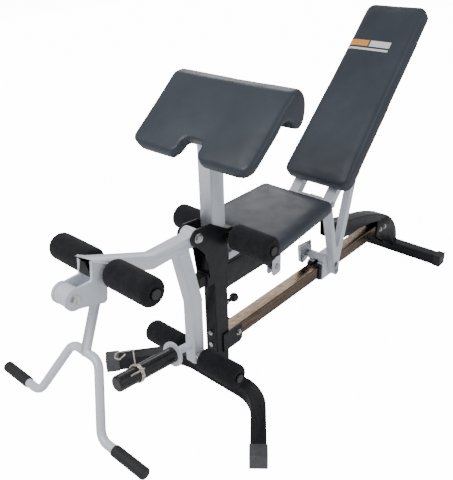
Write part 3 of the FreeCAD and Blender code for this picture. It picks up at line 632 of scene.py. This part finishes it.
def makeSeatPad():
    s = seatPad
    inset = s["inset"]
    length = s["rear"] - s["front"]
    corners = [(-s["frontHalf"] + inset, inset), (s["frontHalf"] - inset, inset),
               (s["rearHalf"] - inset, length - inset), (-s["rearHalf"] + inset, length - inset)]
    ring = roundedOutline(corners, s["corner"])
    bm = slabFrom(ring, -s["thick"] + 1, -3, s["soften"])
    mesh = meshFrom("seatPadCore", bm, 180)
    even = remeshed(mesh, "seatPad", padPressure["voxel"])
    held = (-s["thick"] + 12) / 1000
    soft = stuffed(even, "seatPad", lambda p: 1.0 if p.z < held else 0.0)
    base = benchPoint(0, s["front"], s["top"])
    place = Matrix.Translation(base) @ Matrix.Rotation(math.radians(s["slope"]), 4, "X")
    crumple = cornerPleats(corners, 0.09, 0.0016, -s["thick"] / 1000, -0.012)
    piece = finerPad("seatPad", soft, place, "seat", crumple)
    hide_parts("seat_pad")


def makeBackPad():
    s = backPad
    inset = s["inset"]
    corners = [(-s["lowHalf"] + inset, s["start"] + inset),
               (s["lowHalf"] - inset, s["start"] + inset),
               (s["highHalf"] - inset, s["start"] + s["length"] - inset),
               (-s["highHalf"] + inset, s["start"] + s["length"] - inset)]
    ring = roundedOutline(corners, s["corner"])
    bm = slabFrom(ring, s["front"] - s["thick"] + 1, s["front"] - 3, s["soften"])
    mesh = meshFrom("backPadCore", bm, 180)
    even = remeshed(mesh, "backPad", padPressure["voxel"])
    held = (s["front"] - s["thick"] + 14) / 1000
    soft = stuffed(even, "backPad", lambda p: 1.0 if p.z < held else 0.0)
    place = (Matrix.Translation(pivotOf("back_recline"))
             @ Matrix.Rotation(math.radians(90 - s["lean"]), 4, "X"))
    crumple = cornerPleats(corners, 0.1, 0.002, (s["front"] - s["thick"]) / 1000,
                           (s["front"] - 14) / 1000)
    piece = finerPad("backPad", soft, place, "back", crumple, backMarks)
    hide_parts("back_pad")


def armPadProfile():
    # side outline of the arm pad: sloped face, rolled top, hooked rear lip and hollow
    s = armPad
    low, high = Vector(s["low"]), Vector(s["high"])
    along = (high - low).normalized()
    across = Vector((-along.y, along.x))
    inset = 2
    size = (high - low).length

    def onFace(a, d):
        return low + along * a + across * d

    points = [onFace(inset, -12), onFace(12, -inset), onFace(size * 0.5, -inset + 1),
              onFace(size - 16, -inset)]
    roll = [(127, 1028), (146, 1011), (154, 986), (153, 957), (147, 936), (138, 923),
            (126, 915), (112, 918), (100, 932), (91, 943), (75, 951), (51, 948)]
    points += [Vector(p) for p in roll]
    points += [onFace(150, -s["thick"] + 1), onFace(inset, -s["thick"] + 1)]
    return points, onFace, along, across


def makeArmPad():
    s = armPad
    profile, onFace, along, across = armPadProfile()
    bm = bmesh.new()
    half = s["half"] - 5
    steps = [(-half, 10.0), (-half + 3, 4.0), (-half + 10, 0.0), (half - 10, 0.0),
             (half - 3, 4.0), (half, 10.0)]
    loops = []
    for x, inset in steps:
        loop = []
        for i, p in enumerate(profile):
            before, after = profile[i - 1], profile[(i + 1) % len(profile)]
            edge = (after - before).normalized()
            inward = Vector((edge.y, -edge.x))
            q = p + inward * inset
            loop.append(bm.verts.new((x / 1000, q.x / 1000, q.y / 1000)))
        loops.append(loop)
    for left, right in zip(loops, loops[1:]):
        for i in range(len(profile)):
            j = (i + 1) % len(profile)
            bm.faces.new((left[i], left[j], right[j], right[i]))
    bm.faces.new(list(reversed(loops[0])))
    bm.faces.new(loops[-1])
    bmesh.ops.recalc_face_normals(bm, faces=bm.faces)
    mesh = meshFrom("armPadCore", bm, 180)
    body = bpy.data.objects.new("armPadCore", mesh)
    bpy.context.scene.collection.objects.link(body)
    # the chest notch and the two rounded lower corners are cut straight through the face
    cutters = [armCutter("chestNotch", notchRing(), along, across)]
    for side in (-1, 1):
        cutters.append(armCutter("lowCorner", cornerRing(side), along, across))
    for cutter in cutters:
        mod = body.modifiers.new("cut", "BOOLEAN")
        mod.operation = "DIFFERENCE"
        mod.solver = "EXACT"
        mod.object = cutter
    graph = bpy.context.evaluated_depsgraph_get()
    cut = bpy.data.meshes.new_from_object(body.evaluated_get(graph))
    bpy.data.objects.remove(body)
    for cutter in cutters:
        bpy.data.objects.remove(cutter)
    even = remeshed(cut, "armPad", 0.005)
    lowPoint = Vector((0, *s["low"])) / 1000
    normal = Vector((0, across.x, across.y))
    deep = -(s["thick"] - 12) / 1000

    def isHeld(p):
        under = (p - lowPoint).dot(normal) < deep
        return 1.0 if under and p.y < 0.06 else 0.0

    soft = stuffed(even, "armPad", isHeld)

    def crumple(p):
        return normal * (noise.noise(p * 8.0) * 0.0012 + noise.noise(p * 21.0) * 0.0004)

    place = Matrix.Translation(Vector((0, postY, 0)))
    piece = finerPad("armPad", soft, place, "arm_rest", crumple)
    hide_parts("arm_pad")


def notchRing():
    s = armPad
    wide, deep, flare = s["notchHalf"] - 2, s["notchDeep"] - 2, 22
    corners = [(-wide - flare - 30, -40), (wide + flare + 30, -40), (wide + flare, -2),
               (wide, 24), (wide, deep), (-wide, deep), (-wide, 24), (-wide - flare, -2)]
    return roundedOutline(corners, [0, 0, 10, 18, 20, 20, 18, 10], 5)


def cornerRing(side):
    # a wedge with a hollow round, which leaves a rounded lower corner on the pad
    s = armPad
    r, edge = 42, s["half"] - 5
    ring = [Vector((side * (edge + 30), -30)), Vector((side * (edge + 30), r + 4)),
            Vector((side * edge, r + 4))]
    for i in range(9):
        a = math.pi / 2 * i / 8
        ring.append(Vector((side * (edge - r + r * math.cos(a)), r + 4 - r * math.sin(a))))
    ring.append(Vector((side * (edge - r), -30)))
    return ring


def armCutter(name, ring, along, across):
    low = Vector(armPad["low"])
    bm = bmesh.new()
    loops = []
    for depth in (-120, 60):
        loop = []
        for p in ring:
            q = low + along * p.y + across * depth
            loop.append(bm.verts.new((p.x / 1000, q.x / 1000, q.y / 1000)))
        loops.append(loop)
    count = len(ring)
    for i in range(count):
        j = (i + 1) % count
        bm.faces.new((loops[0][i], loops[0][j], loops[1][j], loops[1][i]))
    bm.faces.new(list(reversed(loops[0])))
    bm.faces.new(loops[1])
    bmesh.ops.recalc_face_normals(bm, faces=bm.faces)
    cutter = bpy.data.objects.new(name, meshFrom(name, bm, 180))
    bpy.context.scene.collection.objects.link(cutter)
    cutter.hide_render = True
    return cutter


makeSeatPad()
makeBackPad()
makeArmPad()
print("pads stuffed")


# foam rollers, each a turned profile with rounded ends and a dimple round its plug

roller = dict(endRound=15, dimple=5, dimpleRing=17, bore=12.6, wobble=0.0006, around=72)


def turnedMesh(name, profile, around, centre, axisX=1, unevenness=0.0):
    # profile points are (distance along X, radius) in metres and close on themselves
    bm = bmesh.new()
    rings = []
    for along, radius in profile:
        ring = []
        for i in range(around):
            a = 2 * math.pi * i / around
            p = Vector((along * axisX, radius * math.cos(a), radius * math.sin(a)))
            if unevenness:
                push = 1 + noise.noise((p + centre) * 26.0) * unevenness / max(radius, 1e-3)
                p.y *= push
                p.z *= push
            ring.append(bm.verts.new(p + centre))
        rings.append(ring)
    count = len(rings)
    for k in range(count):
        first, second = rings[k], rings[(k + 1) % count]
        for i in range(around):
            j = (i + 1) % around
            bm.faces.new((first[i], first[j], second[j], second[i]))
    bmesh.ops.recalc_face_normals(bm, faces=bm.faces)
    return meshFrom(name, bm, 50)


def rollerProfile(length, radius):
    r = roller
    end, bore = r["endRound"], r["bore"]
    right = []
    for i in range(8):
        a = math.pi / 2 * i / 7
        right.append((length / 2 - end + end * math.sin(a), radius - end + end * math.cos(a)))
    right += [(length / 2 - 1, r["dimpleRing"]), (length / 2 - r["dimple"], bore + 2),
              (length / 2 - r["dimple"], bore)]
    left = [(-x, y) for x, y in reversed(right)]
    belly = [(x * length, radius * (1 + 0.004 * math.cos(x * math.pi)))
             for x in (-0.3, -0.2, -0.1, 0, 0.1, 0.2, 0.3)]
    return [(x / 1000, y / 1000) for x, y in belly + right + left]


def makeRollers():
    for place in ("upper", "lower", "knee"):
        for side in ("near", "far"):
            node = place + "_roller_" + side
            low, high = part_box(node)
            length, radius = (high.x - low.x) * 1000, (high.z - low.z) * 500
            mesh = turnedMesh(node, rollerProfile(length - 1, radius - 0.5), roller["around"],
                              (low + high) / 2, 1, roller["wobble"])
            piece = newPiece(node + "_foam", mesh, bodyOf[node], "foam")
            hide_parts(node)


makeRollers()
print("rollers turned")

# weld beads, staples, grip ribs and the coil spring are grown on paths by node groups, and the washers are turned

def newGroup(name, inputs):
    group = bpy.data.node_groups.new(name, "GeometryNodeTree")
    group.interface.new_socket("Path", in_out="INPUT", socket_type="NodeSocketGeometry")
    for label, kind in inputs:
        group.interface.new_socket(label, in_out="INPUT", socket_type="NodeSocket" + kind)
    group.interface.new_socket("Grown", in_out="OUTPUT", socket_type="NodeSocketGeometry")
    return group, group.nodes.new("NodeGroupInput"), group.nodes.new("NodeGroupOutput")


def chain(group, *links):
    for out, into in links:
        group.links.new(out, into)


def closeGroup(group, source, finishSocket, out):
    # every group ends in real, finished geometry
    real = group.nodes.new("GeometryNodeRealizeInstances")
    coat = group.nodes.new("GeometryNodeSetMaterial")
    chain(group, (source, real.inputs["Geometry"]),
          (real.outputs["Geometry"], coat.inputs["Geometry"]),
          (finishSocket, coat.inputs["Material"]), (coat.outputs["Geometry"], out.inputs[0]))


def beadGroup():
    group, given, out = newGroup("weldBeads", [("Spacing", "Float"), ("Bead", "Float"),
                                               ("Seed", "Int"), ("Finish", "Material")])
    curve = group.nodes.new("GeometryNodeMeshToCurve")
    steps = group.nodes.new("GeometryNodeResampleCurve")
    steps.mode = "LENGTH"
    ball = group.nodes.new("GeometryNodeMeshIcoSphere")
    ball.inputs["Subdivisions"].default_value = 2
    size = group.nodes.new("FunctionNodeRandomValue")
    size.inputs["Min"].default_value = 0.8
    size.inputs["Max"].default_value = 1.2
    spots = group.nodes.new("GeometryNodeInstanceOnPoints")
    chain(group, (given.outputs["Path"], curve.inputs["Mesh"]),
          (curve.outputs["Curve"], steps.inputs["Curve"]),
          (given.outputs["Spacing"], steps.inputs["Length"]),
          (given.outputs["Bead"], ball.inputs["Radius"]),
          (given.outputs["Seed"], size.inputs["Seed"]),
          (steps.outputs["Curve"], spots.inputs["Points"]),
          (ball.outputs["Mesh"], spots.inputs["Instance"]),
          (size.outputs["Value"], spots.inputs["Scale"]))
    closeGroup(group, spots.outputs["Instances"], given.outputs["Finish"], out)
    return group


def stapleGroup():
    group, given, out = newGroup("stapleRow", [("Spacing", "Float"), ("Wire", "Float"),
                                               ("Crown", "Float"), ("Finish", "Material")])
    curve = group.nodes.new("GeometryNodeMeshToCurve")
    steps = group.nodes.new("GeometryNodeResampleCurve")
    steps.mode = "LENGTH"
    size = group.nodes.new("ShaderNodeCombineXYZ")
    crown = group.nodes.new("GeometryNodeMeshCube")
    tangent = group.nodes.new("GeometryNodeInputTangent")
    aim = group.nodes.new("FunctionNodeAlignRotationToVector")
    aim.axis = "X"
    spots = group.nodes.new("GeometryNodeInstanceOnPoints")
    chain(group, (given.outputs["Path"], curve.inputs["Mesh"]),
          (curve.outputs["Curve"], steps.inputs["Curve"]),
          (given.outputs["Spacing"], steps.inputs["Length"]),
          (given.outputs["Crown"], size.inputs["X"]), (given.outputs["Wire"], size.inputs["Y"]),
          (given.outputs["Wire"], size.inputs["Z"]),
          (size.outputs["Vector"], crown.inputs["Size"]),
          (tangent.outputs["Tangent"], aim.inputs["Vector"]),
          (steps.outputs["Curve"], spots.inputs["Points"]),
          (crown.outputs["Mesh"], spots.inputs["Instance"]),
          (aim.outputs["Rotation"], spots.inputs["Rotation"]))
    closeGroup(group, spots.outputs["Instances"], given.outputs["Finish"], out)
    return group


def wireGroup():
    group, given, out = newGroup("bentWire", [("Bend", "Float"), ("Wire", "Float"),
                                              ("Finish", "Material")])
    curve = group.nodes.new("GeometryNodeMeshToCurve")
    soft = group.nodes.new("GeometryNodeFilletCurve")
    mode = soft.inputs.get("Mode")
    if mode is not None:
        mode.default_value = "Poly"
    else:
        soft.mode = "POLY"
    soft.inputs["Count"].default_value = 5
    section = group.nodes.new("GeometryNodeCurvePrimitiveCircle")
    section.inputs["Resolution"].default_value = 12
    skin = group.nodes.new("GeometryNodeCurveToMesh")
    skin.inputs["Fill Caps"].default_value = True
    chain(group, (given.outputs["Path"], curve.inputs["Mesh"]),
          (curve.outputs["Curve"], soft.inputs["Curve"]),
          (given.outputs["Bend"], soft.inputs["Radius"]),
          (given.outputs["Wire"], section.inputs["Radius"]),
          (soft.outputs["Curve"], skin.inputs["Curve"]),
          (section.outputs["Curve"], skin.inputs["Profile Curve"]))
    closeGroup(group, skin.outputs["Mesh"], given.outputs["Finish"], out)
    return group


def pathMesh(name, runs):
    # each run is a list of points in metres
    points, edges = [], []
    for run in runs:
        first = len(points)
        points += [tuple(p) for p in run]
        edges += [(first + i, first + i + 1) for i in range(len(run) - 1)]
    mesh = bpy.data.meshes.new(name)
    mesh.from_pydata(points, edges, [])
    return mesh


def grown(name, runs, group, values, body, slot):
    thing = bpy.data.objects.new(name + "_path", pathMesh(name, runs))
    bpy.context.scene.collection.objects.link(thing)
    mod = thing.modifiers.new("grow", "NODES")
    mod.node_group = group
    values = dict(values, Finish=finish[slot])
    for item in group.interface.items_tree:
        if item.item_type == "SOCKET" and item.in_out == "INPUT" and item.name in values:
            mod[item.identifier] = values[item.name]
    graph = bpy.context.evaluated_depsgraph_get()
    mesh = bpy.data.meshes.new_from_object(thing.evaluated_get(graph))
    thing.modifiers.remove(mod)
    bpy.data.objects.remove(thing)
    mesh.shade_smooth()
    mesh.set_sharp_from_angle(angle=math.radians(38))
    return newPiece(name, mesh, body, slot)


bead = dict(Spacing=0.0021, Bead=0.0017)
staple = dict(Spacing=0.042, Wire=0.0011, Crown=0.010)


def onBack(x, s, d):
    lean = math.radians(backPad["lean"])
    pivot = pivotOf("back_recline")
    return Vector((x / 1000, pivot.y + (math.sin(lean) * s - math.cos(lean) * d) / 1000,
                   pivot.z + (math.cos(lean) * s + math.sin(lean) * d) / 1000))


def onSeat(x, s, d):
    tilt = math.radians(seatPad["slope"])
    return benchPoint(x, seatPad["front"] + s * math.cos(tilt) + d * math.sin(tilt),
                      seatPad["top"] + s * math.sin(tilt) - d * math.cos(tilt))


def bothSides(points):
    return [[benchPoint(side * x, y, z) for x, y, z in points] for side in (-1, 1)]


def ringRun(centre, axis, radius, steps=40):
    axis = Vector(axis).normalized()
    side = axis.orthogonal().normalized()
    up = axis.cross(side)
    return [centre + (side * math.cos(2 * math.pi * i / steps)
                      + up * math.sin(2 * math.pi * i / steps)) * radius for i in range(steps + 1)]


# each weld is a run of bench points; the paired ones are mirrored across the bench
weld = dict(lift=0.4, postHalf=25, rearHalf=30, crossHalf=12)


def baseWelds():
    top = 48 + weld["lift"]
    rear = 33 + weld["lift"]
    half = weld["postHalf"]
    pairs = [[(half, -22, top), (half, 28, top)],
             [(half + 0.4, -24, 452), (half + 0.4, 33, 452)],
             [(24, rear, 375), (24, rear, 457)],
             [(24, rear, 536), (24, rear, 582)],
             [(8.4, 252.3, 384), (8.4, 252.3, 426)],
             [(weld["rearHalf"], 1205.5, top), (weld["rearHalf"], 1253, top)],
             [(weld["rearHalf"] + 0.4, 1040, 221), (weld["rearHalf"] + 0.4, 1118, 215.5)]]
    runs = [run for pair in pairs for run in bothSides(pair)]
    return runs + [[benchPoint(x, rear, 460.2) for x in (-24, 24)]]


def leverWelds():
    return (bothSides([(21.3, -124, 582), (21.3, -168, 580.5)])
            + bothSides([(21.3, -440, 646), (21.3, -424, 612)])
            + [[benchPoint(x, -169, 580.2) for x in (-21, 21)]]
            + [ringRun(benchPoint(0, -197.4, 235.3), (0, -220, 28), 0.0138)])


def backWelds():
    half = weld["crossHalf"]
    runs = [[onBack(x, s, -15.2) for s in (283, 322)] for x in (67.8, 37.2)]
    for s in (150, 180, 560, 590):
        runs += [[onBack(x, s, -half), onBack(x, s, half)] for x in (37.2, -71.8)]
    return runs


def seatWelds():
    return (bothSides([(14.4, 288, 485), (14.4, 338, 487.3)])
            + bothSides([(25.3, 503, 492.5), (25.3, 545, 480)]))


def carriageWelds():
    return [[benchPoint(x, 615.8, 211.2) for x in ends] for ends in ((-30, -12), (12, 32))]


def armWelds():
    return bothSides([(25.3, -24, 871), (25.3, 14, 902)])


def layWelds():
    beads = beadGroup()
    for name, runs, seed, body, slot in (("baseWelds", baseWelds(), 7, "base", "black_paint"),
                                         ("leverWelds", leverWelds(), 11, "leg_lever", "silver_paint"),
                                         ("backWelds", backWelds(), 23, "back", "silver_paint"),
                                         ("seatWelds", seatWelds(), 31, "seat", "silver_paint"),
                                         ("carriageWelds", carriageWelds(), 43, "carriage",
                                          "silver_paint"),
                                         ("armWelds", armWelds(), 51, "arm_rest", "silver_paint")):
        grown(name, runs, beads, dict(bead, Seed=seed), body, slot)


stapleInset = dict(side=32, end=34, underSeat=6.8, behindBack=14.9)


def stapleLoop(half0, half1, low, high, place, depth):
    corners = ((-half0, low), (half0, low), (half1, high), (-half1, high), (-half0, low))
    return [[place(x, s, depth) for x, s in corners]]


def driveStaples():
    staples = stapleGroup()
    side, end = stapleInset["side"], stapleInset["end"]
    s = seatPad
    seat = stapleLoop(s["frontHalf"] - side, s["rearHalf"] - side, end, s["rear"] - s["front"] - end,
                      onSeat, s["thick"] + stapleInset["underSeat"])
    grown("seatStaples", seat, staples, staple, "seat", "zinc")
    b = backPad
    back = stapleLoop(b["lowHalf"] - side, b["highHalf"] - side, b["start"] + end,
                      b["start"] + b["length"] - end, onBack, stapleInset["behindBack"])
    grown("backStaples", back, staples, staple, "back", "zinc")


coil = dict(wire=0.0022, turns=4, pitch=0.0043, bend=0.006, start=0.136, steps=28,
            sleeveRadius=0.0249, clear=0.0003, flange=(0, -203, 236), tip=(0, -423, 264))


def windCollar():
    flangeAt = benchPoint(*coil["flange"])
    forward = (benchPoint(*coil["tip"]) - flangeAt).normalized()
    up = Vector((0, forward.z, -forward.y))
    ring = coil["sleeveRadius"] + coil["clear"] + coil["wire"]

    def fromCoil(turn, out, ahead, across):
        spot = flangeAt + forward * (coil["start"] + coil["pitch"] * turn + ahead / 1000)
        return spot + up * (ring + out / 1000) + Vector((across / 1000, 0, 0))

    last = coil["turns"] - 1
    winding = []
    for i in range(coil["steps"] * last + 1):
        turn = i / coil["steps"]
        angle = 2 * math.pi * turn
        spot = flangeAt + forward * (coil["start"] + coil["pitch"] * turn)
        winding.append(spot + up * ring * math.cos(angle) + Vector((ring * math.sin(angle), 0, 0)))
    tall = [fromCoil(last, 56, 4, -6), fromCoil(last, 80, 70, 0), fromCoil(last, 68, 78, 2),
            fromCoil(last, 54, 62, 3), fromCoil(last, 62, 40, 2)]
    side = [fromCoil(0, 1, 54, 27), fromCoil(0, 1, -26, 27), fromCoil(0, -4, -3, 19)]
    wires = wireGroup()
    wireValues = dict(Bend=0.0, Wire=coil["wire"])
    piece = grown("collarCoil", [winding], wires, wireValues, "collar", "spring_steel")
    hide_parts("spring_collar")
    arms = [[fromCoil(last, -1, 0, 0)] + tall, side]
    grown("collarHandles", arms, wires, dict(wireValues, Bend=coil["bend"]), "collar",
          "spring_steel")


rib = dict(count=13, fromEnd=0.008, sink=0.0004, wire=0.0009, steps=36)


def ribGrips():
    wires = wireGroup()
    for node in ("grip_near", "grip_far"):
        low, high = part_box(node)
        centre = (low + high) / 2
        radius = (high.z - low.z) / 2 - rib["sink"]
        ribbed = high.x - low.x - 2 * rib["fromEnd"]
        rings = []
        for i in range(rib["count"]):
            x = low.x + rib["fromEnd"] + ribbed * i / (rib["count"] - 1)
            rings.append(ringRun(Vector((x, centre.y, centre.z)), (1, 0, 0), radius, rib["steps"]))
        grown(node + "_ribs", rings, wires, dict(Bend=0.0, Wire=rib["wire"]), "curl", "grip_rubber")


# reach is how far from the middle of the bench a washer lies, outer and bore are its radii;
# the back's bolt is off the middle, so its washers are set from the bolt's own ends
washers = dict(lever_pivot_bolt=dict(reach=0.0302, outer=0.0155, bore=0.0082),
               curl_pivot_bolt=dict(reach=0.0302, outer=0.0145, bore=0.0082),
               back_pivot_bolt=dict(headThick=0.0056, outer=0.0125, bore=0.0062),
               seat_pivot_bolt=dict(reach=0.0142, outer=0.0125, bore=0.0062),
               rail_bolt_front=dict(reach=0.0303, outer=0.0115, bore=0.0052),
               rail_bolt_mid=dict(reach=0.0303, outer=0.0115, bore=0.0052),
               rail_bolt_rear=dict(reach=0.0303, outer=0.0115, bore=0.0052))
washerHalf = 0.0006


def fitWashers():
    for node, size in washers.items():
        low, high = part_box(node)
        middle = (low + high) / 2
        for side, ending in ((-1, "_washerFar"), (1, "_washerNear")):
            if "reach" in size:
                x = side * (size["reach"] + washerHalf)
            else:
                x = (high.x if side > 0 else low.x) - side * size["headThick"]
            profile = [(-washerHalf, size["bore"]), (washerHalf, size["bore"]),
                       (washerHalf, size["outer"]), (-washerHalf, size["outer"])]
            mesh = turnedMesh(node + "_washer", profile, 36, Vector((x, middle.y, middle.z)))
            newPiece(node + ending, mesh, bodyOf[node], "zinc")


layWelds()
driveStaples()
windCollar()
ribGrips()
fitWashers()
print("welds, staples, coil, ribs and washers added")

# the nodes whose shape is right as it is only take their finish
kept = [n for n in nodes if not nodes[n].hide_render]
for n in kept:
    nodes[n].data.materials.clear()
    nodes[n].data.materials.append(finish[slotOf[n]])
    nodes[n].data.shade_smooth()
    nodes[n].data.set_sharp_from_angle(angle=math.radians(38))

layFloor()
